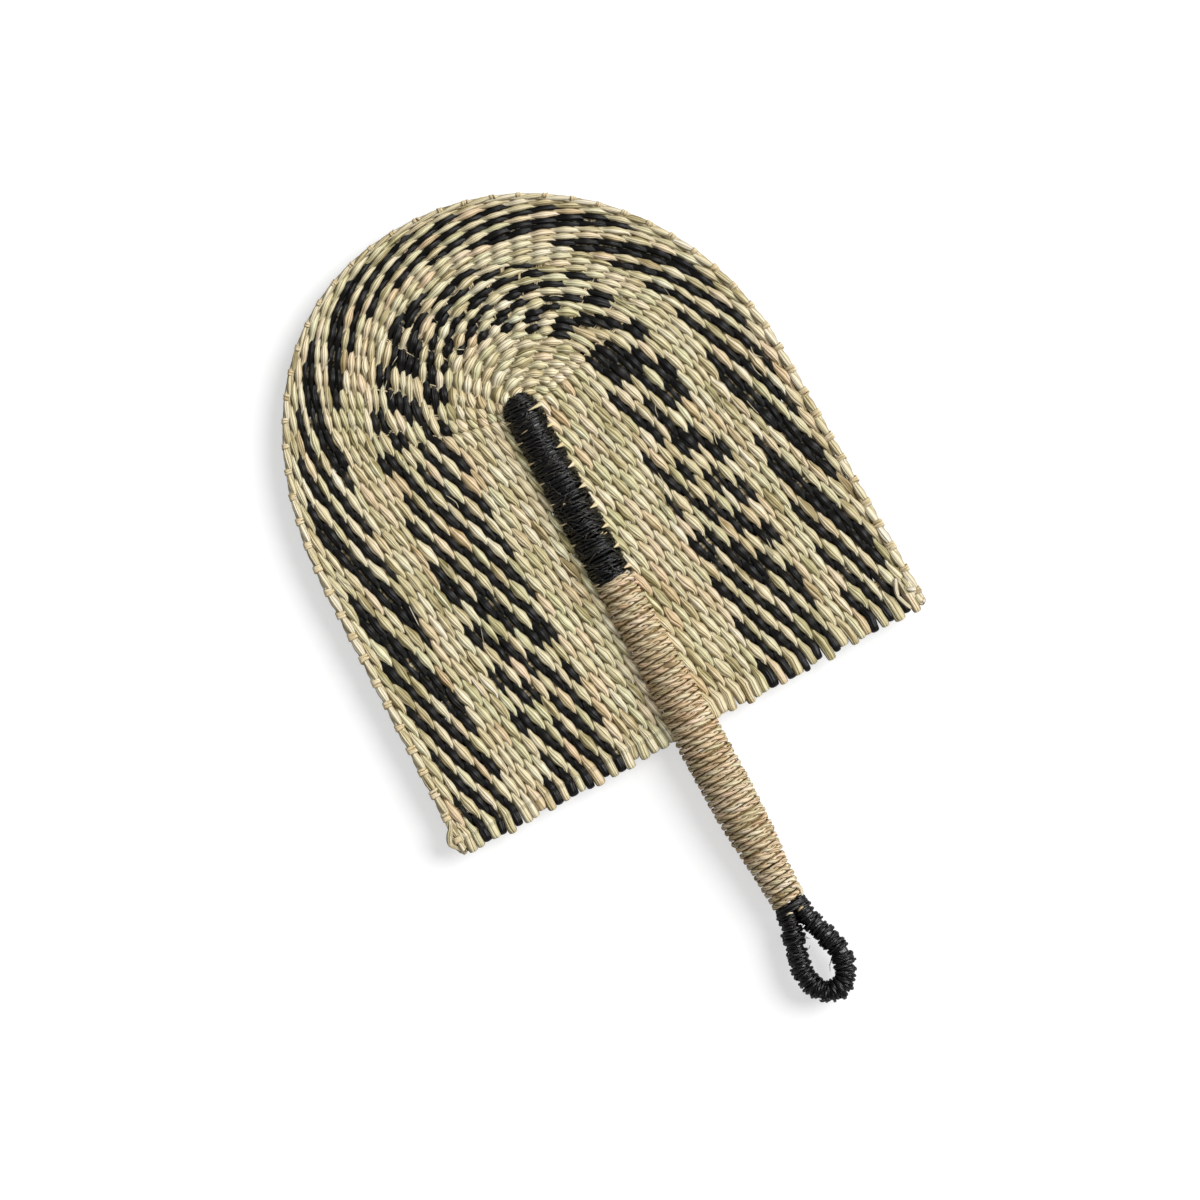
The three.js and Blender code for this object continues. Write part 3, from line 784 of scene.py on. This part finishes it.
def handle_skin(down, turn, lift=0.0):
    """Points over the bound handle's skin and their outward side, at a length down from the tip
    and an angle round it, counted from its right side over the front."""
    cap = np.clip(down / TOP_RADIUS, 0, math.pi / 2)
    y = -TOP_RADIUS * (1 - np.cos(cap)) - np.maximum(down - DOME, 0)
    radius = np.where(down < DOME, TOP_RADIUS * np.sin(cap), handle_radius(y))
    ray = np.stack([np.cos(turn), np.zeros_like(turn), np.sin(turn)], -1)
    lengthwise = np.where(down < DOME, np.cos(cap), 0)[:, None] * TO_TOP
    outward = unit(ray * np.where(down < DOME, np.sin(cap), 1)[:, None] + lengthwise)
    skin = y[:, None] * TO_TOP + ray * radius[:, None]
    return skin + outward * np.asarray(lift)[..., None], outward


CORD_PITCH = 3.35  # down the handle, for each turn
CORD_TURN = 72  # length of cord in a turn
CORD_LAY = 8.5  # length of cord in which its two plies change sides
CORD_SWING = 0.24  # of its pitch, each way
CORD_WIDTH = 0.22  # of its pitch: half a ply where they cross, and its gain on top
CORD_SUNK, CORD_RISE = 1.1, 0.5  # of a ply's middle under the skin, and its gain on top


def handle_cord():
    """The natural binding: a slack cord of two plies, wound from the black binding to the loop."""
    rng = np.random.default_rng(21)
    from_down = DOME + BLACK_LENGTH - TOP_RADIUS - 0.2
    to_down = DOME + HANDLE_LENGTH - TOP_RADIUS - 1.2
    turns = (to_down - from_down) / CORD_PITCH
    size = int(turns * 64)
    length = turns * CORD_TURN
    sway = swaying(rng, length, size)
    turn = np.linspace(0, turns * 2 * math.pi, size) + 0.6
    down = np.linspace(from_down, to_down, size) + sway(0.3, 14)
    lay = np.linspace(0, length / CORD_LAY * math.pi, size) + sway(0.4, 12)
    made = []
    for ply in (0, math.pi):
        over = np.sin(lay + ply)
        flat = np.abs(over) ** CROSSING_TAPER
        aside = CORD_SWING * CORD_PITCH * np.cos(lay + ply)
        lift = -CORD_SUNK + CORD_RISE * over + sway(0.12, 6)
        centre, outward = handle_skin(down + aside, turn, lift)
        wide = CORD_PITCH * (CORD_WIDTH + CORD_WIDTH * flat) * (1 + sway(0.06, 8))
        stitch = np.floor((lay + ply) / math.pi).astype(int)
        tones = rng.normal(0.5, 0.1, stitch.max() + 1)
        blushes = rng.normal(0.65, 0.25, stitch.max() + 1)
        made.append(strand(centre, outward, wide, 1.05, rng, lobes=4, depth=0.14,
                           tone=tones[stitch], blush=blushes[stitch], twist=sway(0.5, 20)))
    return made


def nearly_black(rng):
    return BLACK - rng.uniform(-0.03, 0.05)


def arc_on_handle(rng, middle, reach, at, slope, half_wide, lift, tone, dye=NATURAL, tilt=0.0):
    """A short stem on the handle's skin, its ends pressed in."""
    bend = rng.normal(0, 0.35) * (1 - SHORT**2)
    lift = lift - 0.8 * np.abs(SHORT) ** 3
    centre, outward = handle_skin(middle + slope * SHORT + bend, at + reach * SHORT, lift)
    facing = unit(outward + TO_TOP * tilt)
    return strand(centre, facing, half_wide * (1 - 0.75 * np.abs(SHORT) ** 4), 0.42, rng, lobes=3,
                  depth=0.3, tone=tone, dye=dye)


BLACK_PITCH = 1.75
BLACK_ASKEW = 620  # short stems over the winding


def black_binding():
    """Fine black stems wound close on a black underlay, with many laid askew over them."""
    rng = np.random.default_rng(33)
    end = DOME + BLACK_LENGTH - TOP_RADIUS
    cap = np.linspace(0.25, math.pi / 2, 7)
    axis_y = np.append(-TOP_RADIUS * (1 - np.cos(cap)), -BLACK_LENGTH + 0.6)
    radius = np.append(TOP_RADIUS * np.sin(cap), handle_radius(-BLACK_LENGTH)) - 1.2
    axis = axis_y[:, None] * TO_TOP
    made = [strand(axis, UP, radius, radius, rng, lobes=12, depth=0.0, dye=BLACK)]
    down, turn = [0.8], [0.0]
    while down[-1] < end:
        radius = handle_skin(np.array(down[-1:]), np.zeros(1))[0][0, 0]
        step = min(0.42, 2.2 / max(abs(radius), 0.8))
        turn.append(turn[-1] - step)
        down.append(down[-1] + BLACK_PITCH * step / (2 * math.pi))
    down, turn = np.array(down), np.array(turn)
    sway = swaying(rng, len(down), len(down))
    down = np.maximum(down + sway(0.45, 7) * (down > 4), 0.3)
    centre, outward = handle_skin(down, turn, -0.65 + sway(0.25, 4))
    made.append(strand(centre, outward, 0.85 + sway(0.15, 7), 0.75, rng, lobes=4, depth=0.3,
                       twist=sway(0.6, 9), dye=BLACK))
    for _ in range(BLACK_ASKEW):
        made.append(arc_on_handle(
            rng, rng.uniform(3.5, end - 1.2), rng.uniform(0.12, 0.45), rng.uniform(0, 2 * math.pi),
            rng.normal(-0.5, 1.4), rng.uniform(0.3, 0.62), rng.uniform(-0.3, 0.5), 0.5,
            nearly_black(rng), rng.normal(0, 0.8)))
    return made


def tooth(rng, middle, at, to, half_wide):
    """A pale stem that comes out of the blade and tapers to its point on the black binding."""
    share = np.linspace(0, 1, 9)
    lift = 0.85 - 0.6 * share**2
    centre, outward = handle_skin(middle + 0.5 * share, at + (to - at) * share, lift)
    return strand(centre, outward, half_wide * (1 - share) ** 0.85 + 0.12, 0.35, rng, lobes=3,
                  depth=0.12, tone=rng.normal(0.68, 0.08), blush=rng.uniform(0.2, 0.6))


# Bits of pale straw between the black turns: length down, angle round the handle, reach
PALE_BITS = ((24.6, 2.0, 0.2), (66, 1.95, 0.06), (88, 0.75, 0.16), (87, 0.95, 0.1))


def warp_teeth():
    """Pale stems of the cross warps that show beside the black binding, and the pale bits."""
    rng = np.random.default_rng(35)
    made = []
    for i in range(CROSS_WARPS):
        below = -(last_warp_y + i * warp_pitch)
        if below > BLACK_LENGTH - 2:
            continue
        middle = DOME + below - TOP_RADIUS
        point = 1.3 if i == CROSS_WARPS - 1 else rng.uniform(0.75, 0.95)
        made.append(tooth(rng, middle, 0.1, point, 1.9))
        left = math.pi - rng.uniform(0.65, 0.85)
        made.append(tooth(rng, middle + 1.2, math.pi - 0.1, left, 1.0))
    for down, at, reach in PALE_BITS:
        made.append(arc_on_handle(rng, down, reach, at, 0.2, 0.32, 0.3, 0.4))
    return made


build("handle_cord", handle_cord(), cord_grass, ["lower_handle_binding"])
build("handle_black_winding", black_binding(), black_grass,
      ["upper_handle_binding"])
build("handle_warp_teeth", warp_teeth(), pale_stem)

# Loop: the part's own centreline, wound with thick turns of black stems
handle_end = -HANDLE_LENGTH
loop_foot_y = handle_end - LOOP_LENGTH + LOOP_WRAP_RADIUS
loop_half = LOOP_WIDTH / 2 - LOOP_WRAP_RADIUS
parting_x = LOOP_LEG_OFFSET + LOOP_NECK_SPREAD
parting_y = handle_end - LOOP_NECK


def eye_y(share):
    return parting_y + (loop_foot_y - parting_y) * share


loop_side = np.array([
    (LOOP_LEG_OFFSET, handle_end + 6),
    (LOOP_LEG_OFFSET, handle_end + 1),
    (parting_x - 0.5, parting_y),
    (parting_x + 0.5 * (loop_half - parting_x), eye_y(0.27)),
    (loop_half, eye_y(0.55)),
    (0.98 * loop_half, eye_y(0.68)),
    (0.8 * loop_half, eye_y(0.86)),
    (0.45 * loop_half, eye_y(0.97)),
    (0, loop_foot_y),
])
LOOP_TURN = 3.6  # of the loop's length, for each turn
LOOP_STEMS = 3  # twisted round each other in the winding
LOOP_TWIST = 7.5  # length of winding in which they twist once
LOOP_ENDS = 5.2  # of its line, bare in the handle's end
LOOP_ASKEW = 170  # short stems over the winding


def on_loop(line, run, at, angle, lift):
    """Points over the loop's centreline, their outward side and the line's direction."""
    centre, along = (np.stack([np.interp(at, run, values[:, i]) for i in range(3)], -1)
                     for values in (line, np.gradient(line, axis=0)))
    outward = unit(np.cross(along, UP)) * np.cos(angle)[:, None] + UP * np.sin(angle)[:, None]
    return centre + outward * lift[:, None], outward, unit(along)


def loop_winding():
    """A slack cord of black stems, wound in knobby turns, with loose stems pressed over it."""
    rng = np.random.default_rng(41)
    half = raised(loop_side)
    line = smooth(np.concatenate([half * [-1, 1, 1], half[-2::-1]]), 24)
    run = run_of(line)
    length = run[-1] - 2 * LOOP_ENDS
    bare = (run > LOOP_ENDS) & (run < run[-1] - LOOP_ENDS)
    made = [strand(line[bare], UP, 4.0, 4.0, rng, lobes=8, depth=0.0, dye=BLACK)]
    turns = length / LOOP_TURN
    size = int(turns * 44)
    sway = swaying(rng, turns, size)
    turn = np.linspace(0, turns * 2 * math.pi, size)
    middle = np.linspace(LOOP_ENDS + 1.2, LOOP_ENDS + length - 1.2, size) + sway(0.5, 0.45)
    knob = sway(0.4, 1) + sway(0.2, 0.3)
    lay = turn * 4.6 / LOOP_TWIST * 2 + sway(0.8, 0.3)
    for k in range(LOOP_STEMS):
        phase = lay + k * 2 * math.pi / LOOP_STEMS
        lift = 4.45 + 0.85 * np.sin(phase) + knob
        centre, outward, along = on_loop(line, run, middle + 0.95 * np.cos(phase), turn, lift)
        facing = unit(outward + along * (0.7 * np.cos(phase))[:, None])
        made.append(strand(centre, facing, 0.8 + sway(0.12, 0.3), 0.7, rng, lobes=5, depth=0.3,
                           dye=BLACK))
    for _ in range(LOOP_ASKEW):
        at = rng.uniform(LOOP_ENDS + 2, LOOP_ENDS + length - 2) + rng.normal(0, 1.1) * SHORT
        angle = rng.uniform(0, 2 * math.pi) + rng.uniform(0.25, 0.7) * SHORT
        lift = 5.1 + rng.normal(0, 0.3) - 1.0 * np.abs(SHORT) ** 3
        centre, outward, along = on_loop(line, run, at, angle, lift)
        facing = unit(outward + along * rng.normal(0, 0.6))
        made.append(strand(
            centre, facing, rng.uniform(0.25, 0.6) * (1 - 0.7 * np.abs(SHORT) ** 4), 0.4, rng,
            lobes=3, depth=0.3, dye=nearly_black(rng)))
    return made


def neck_winding():
    """Turns of black stems round both legs of the loop, just below the handle's end."""
    rng = np.random.default_rng(43)
    sway = swaying(rng, 260, 260)
    turn = np.linspace(0, 5 * 2 * math.pi, 260)
    y = handle_end - 0.8 - 3.2 * turn / turn[-1] + sway(0.4, 12)
    half_x, half_z = LOOP_LEG_OFFSET + 4.8 + sway(0.2, 9), 5.2 + sway(0.2, 9)
    centre = np.stack([half_x * np.cos(turn), y, half_z * np.sin(turn)], -1)
    outward = unit(np.stack([np.cos(turn) / half_x, 0 * turn, np.sin(turn) / half_z], -1))
    return [strand(centre, outward, 0.75, 0.5, rng, lobes=4, depth=0.22, dye=BLACK)]


build("loop_winding", loop_winding() + neck_winding(), black_grass,
      ["loop_binding"])


# Loose ends
def loose_stem(points, half_wide, half_tall, rng, tone=0.6, dye=NATURAL):
    line = smooth(np.array(points, float), 5)
    taper = 1 - 0.55 * np.abs(np.linspace(-1, 1, len(line))) ** 6
    return strand(line, carried(line), half_wide * taper, half_tall, rng, lobes=5, depth=0.18,
                  tone=tone, dye=dye)


def laid(rng, table):
    """Stems from a table of their points, half width, half height and tone."""
    return [loose_stem(points, half_wide, half_tall, rng, tone)
            for points, half_wide, half_tall, tone in table]


def left_tuft():
    """The rim's stems end here in a hook that curls out and down, with frayed ends."""
    rng = np.random.default_rng(51)
    made = []
    for _ in range(9):
        shift = rng.normal(0, (0.8, 0.8, 0.7))
        way = rng.uniform(-0.8, 1.2)
        points = [(-129.2, -168, 1.2), (-130.2, -173.5, 2.2), (-132.4 - way, -177.5, 2.4),
                  (-134.2 - 0.4 * way, -181.3, 1.6), (-132.6 + way, -184.6, 0.6),
                  (-131.4 + 1.5 * way, -188.2 + rng.uniform(-1.5, 2.5), -0.6)]
        line = np.array(points) + shift * np.linspace(0.2, 1, 6)[:, None]
        made.append(loose_stem(line, rng.uniform(0.6, 1.0), 0.5, rng, rng.normal(0.5, 0.15)))
    for _ in range(6):
        x = rng.uniform(-130, -125)
        points = [(x, -177, 1.5), (x + rng.normal(0, 0.6), -182, 2.4),
                  (x + rng.normal(0, 1), -186.5, 0.8), (x + rng.normal(0, 1.2), -188.5, -0.8)]
        made.append(loose_stem(points, rng.uniform(0.6, 1.0), 0.5, rng, rng.normal(0.4, 0.15)))
    return made


def right_tuft():
    """Short ends in a loose bunch, and one straw that is folded to a V."""
    rng = np.random.default_rng(53)
    made = []
    for _ in range(12):
        x, fan = rng.uniform(124.5, 129.5), rng.uniform(-1.2, 2)
        points = [(x, -173.5 + rng.normal(0, 1.2), 1.6), (x + 0.4 * fan, -178.5, 2.6),
                  (x + fan, -183.5, 2.0), (x + 1.3 * fan, -188 + rng.uniform(-1.8, 1.2), 0.2)]
        made.append(loose_stem(points, rng.uniform(0.6, 1.1), 0.5, rng, rng.normal(0.55, 0.16)))
    return made + laid(rng, (
        ([(124, -171.5, 3.4), (121.8, -176, 3.9), (120.6, -180.4, 3.8)], 1.25, 0.4, 0.75),
        ([(120.5, -179.6, 3.9), (121.9, -184, 3.6), (123.6, -188.4, 2.0)], 1.2, 0.4, 0.68),
        ([(126.6, -179, 2.9), (128.4, -180.2, 3.4), (130.6, -181, 2.4)], 1.3, 0.6, 0.97),
    ))


def grip_tail():
    """The cord's end, tucked back under its last turns, and pale stems at the loop's neck."""
    return laid(np.random.default_rng(55), (
        ([(4.6, -281.8, 8.6), (7.4, -282.6, 7), (8.4, -285.2, 5.6), (7.2, -288.2, 6.4)],
         1.1, 0.4, 0.62),
        ([(-4.2, -293.3, 4.8), (-2.6, -293, 5.7), (-0.9, -293.6, 4.6)], 0.55, 0.4, 0.5),
        ([(1.9, -294.2, 4.8), (3.4, -293.4, 5.8), (5.4, -293.2, 4.6)], 0.7, 0.4, 0.25),
    ))


def loop_fibres():
    """Fine black fibres that stand into the loop's eye."""
    rng = np.random.default_rng(57)
    lines = [
        [(-5, -303, 3), (-2, -306, 4), (0.6, -309.5, 3)], [(-4, -306, 3), (-0.4, -308.5, 4.5)],
        [(6, -322, 2), (3, -325.5, 3), (1.5, -328.5, 2.4)], [(5.5, -324, 2), (2.4, -325.4, 3)],
        [(-5.5, -312, 2), (-2.6, -313.2, 3.5), (-1, -312, 4)],
    ]
    return [loose_stem(line, 0.14, 0.14, rng, dye=BLACK) for line in lines]


def stray_fibres():
    """Fine split ends that lift off the blade here and there."""
    rng = np.random.default_rng(59)
    made = []
    for _ in range(46):
        row, warp = rng.uniform(1, 26), rng.uniform(0.5, WARP_ENDS - 1.5)
        start = on_blade(row, warp)
        end = on_blade(row + rng.uniform(-0.8, 0.8), warp + rng.uniform(0.5, 1.1))
        bend = (start + end) / 2 + rng.normal(0, 0.7, 2)
        points = [(*start, 2.4), (*bend, rng.uniform(3.2, 4.3)), (*end, 2.9)]
        made.append(loose_stem(points, rng.uniform(0.12, 0.26), 0.14, rng, rng.uniform(0.5, 1)))
    return made


build("left_corner_tuft", left_tuft(), blade_grass)
build("right_corner_tuft", right_tuft(), blade_grass)
build("grip_tail", grip_tail(), cord_grass)
build("loop_fibres", loop_fibres(), black_grass)
build("stray_fibres", stray_fibres(), blade_grass)


# The cores inside the bindings keep the part's own shape and get their straw
def core_material():
    """A bundle of whole dry stems, seen only through gaps: dull, streaked along the handle."""
    material, tree, shader = new_material("dry_stem_bundle")
    place = node(tree, "TexCoord", {})
    fine = (700.0, 45.0, 700.0)
    stems = node(tree, "VectorMath", {0: place.outputs["Object"], 1: fine}, operation="MULTIPLY")
    streaks = node(tree, "TexNoise", {"Vector": stems.outputs[0], "Scale": 1.0})
    straw = set_stops(node(tree, "ValToRGB", {"Fac": streaks.outputs["Fac"]}), (
        (0.3, "#5f4a2a"), (0.55, "#9a8051"), (0.75, "#bfa670")))
    ridges = node(tree, "Bump", {
        "Height": streaks.outputs["Fac"], "Strength": 0.5, "Distance": 0.3 * MM,
    })
    fill(shader, {
        "Base Color": straw, "Roughness": 0.75, "IOR": STRAW_IOR,
        "Normal": ridges.outputs["Normal"],
    })
    return material


stem_bundle = core_material()
for core in ("handle_core", "loop_core"):
    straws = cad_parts[core].data.materials
    straws.clear()
    straws.append(stem_bundle)

# Camera: straight above, turned so that the crown points up and to the left
PHOTO_MM = 600  # width of the picture at the blade
PHOTO_CENTRE = (-10.8, -110.5)
CROWN_IN_PICTURE = (-0.4779, 0.8784)
CAMERA_HEIGHT = 3000
SENSOR_MM = 36
camera_data = bpy.data.cameras.new("camera")
camera_data.sensor_width = SENSOR_MM
camera_data.lens = SENSOR_MM * CAMERA_HEIGHT / PHOTO_MM
camera_data.clip_end = 20
camera = placed("camera", camera_data)
camera.location = np.array([*PHOTO_CENTRE, CAMERA_HEIGHT]) * MM + HANDLE_TOP
camera.rotation_euler = (0, 0, math.atan2(*CROWN_IN_PICTURE))
bpy.context.scene.camera = camera

# Floor and light
PAPER_REACH = 4.0  # metres, each way
PAPER_GAP = 0.0002  # metres under the fan
PAPER_OWN_LIGHT = 0.55
floor_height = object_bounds()[0].z - PAPER_GAP
floor_mesh = bpy.data.meshes.new("floor")
corners = [(-1, -1), (1, -1), (1, 1), (-1, 1)]
floor_mesh.from_pydata([(PAPER_REACH * x, PAPER_REACH * y, 0) for x, y in corners], [],
                       [(0, 1, 2, 3)])
floor = placed("floor", floor_mesh)
floor.location.z = floor_height


def floor_material():
    """Matt pale paper, with a little of its own light for the camera so that it shows white."""
    material, tree, shader = new_material("pale_paper")
    seen = node(tree, "LightPath", {}).outputs["Is Camera Ray"]
    own = node(tree, "Math", {0: seen, 1: PAPER_OWN_LIGHT}, operation="MULTIPLY")
    fill(shader, {
        "Base Color": linear("#cccccc"), "Roughness": 0.9, "Specular IOR Level": 0.2,
        "Emission Color": (1, 1, 1, 1), "Emission Strength": own.outputs[0],
    })
    return material


floor_mesh.materials.append(floor_material())

LIGHT_FROM = (1.0, 0.05)  # across the blade, from its right
LIGHT_ELEVATION = math.radians(42)
LAMP_POWER, LAMP_WIDTH = 3.4, math.radians(46)
ROOM_LIGHT = 0.27
sun_data = bpy.data.lights.new("soft_lamp", "SUN")
sun_data.energy = LAMP_POWER
sun_data.angle = LAMP_WIDTH
sun = placed("soft_lamp", sun_data)
level = math.cos(LIGHT_ELEVATION)
towards = Vector((LIGHT_FROM[0] * level, LIGHT_FROM[1] * level, math.sin(LIGHT_ELEVATION)))
sun.rotation_euler = towards.to_track_quat("Z", "Y").to_euler()

world = bpy.data.worlds.new("plain_studio")
world.use_nodes = True
fill(world.node_tree.nodes["Background"], {"Color": (1, 1, 1, 1), "Strength": ROOM_LIGHT})
bpy.context.scene.world = world
bpy.context.scene.view_settings.view_transform = "Standard"
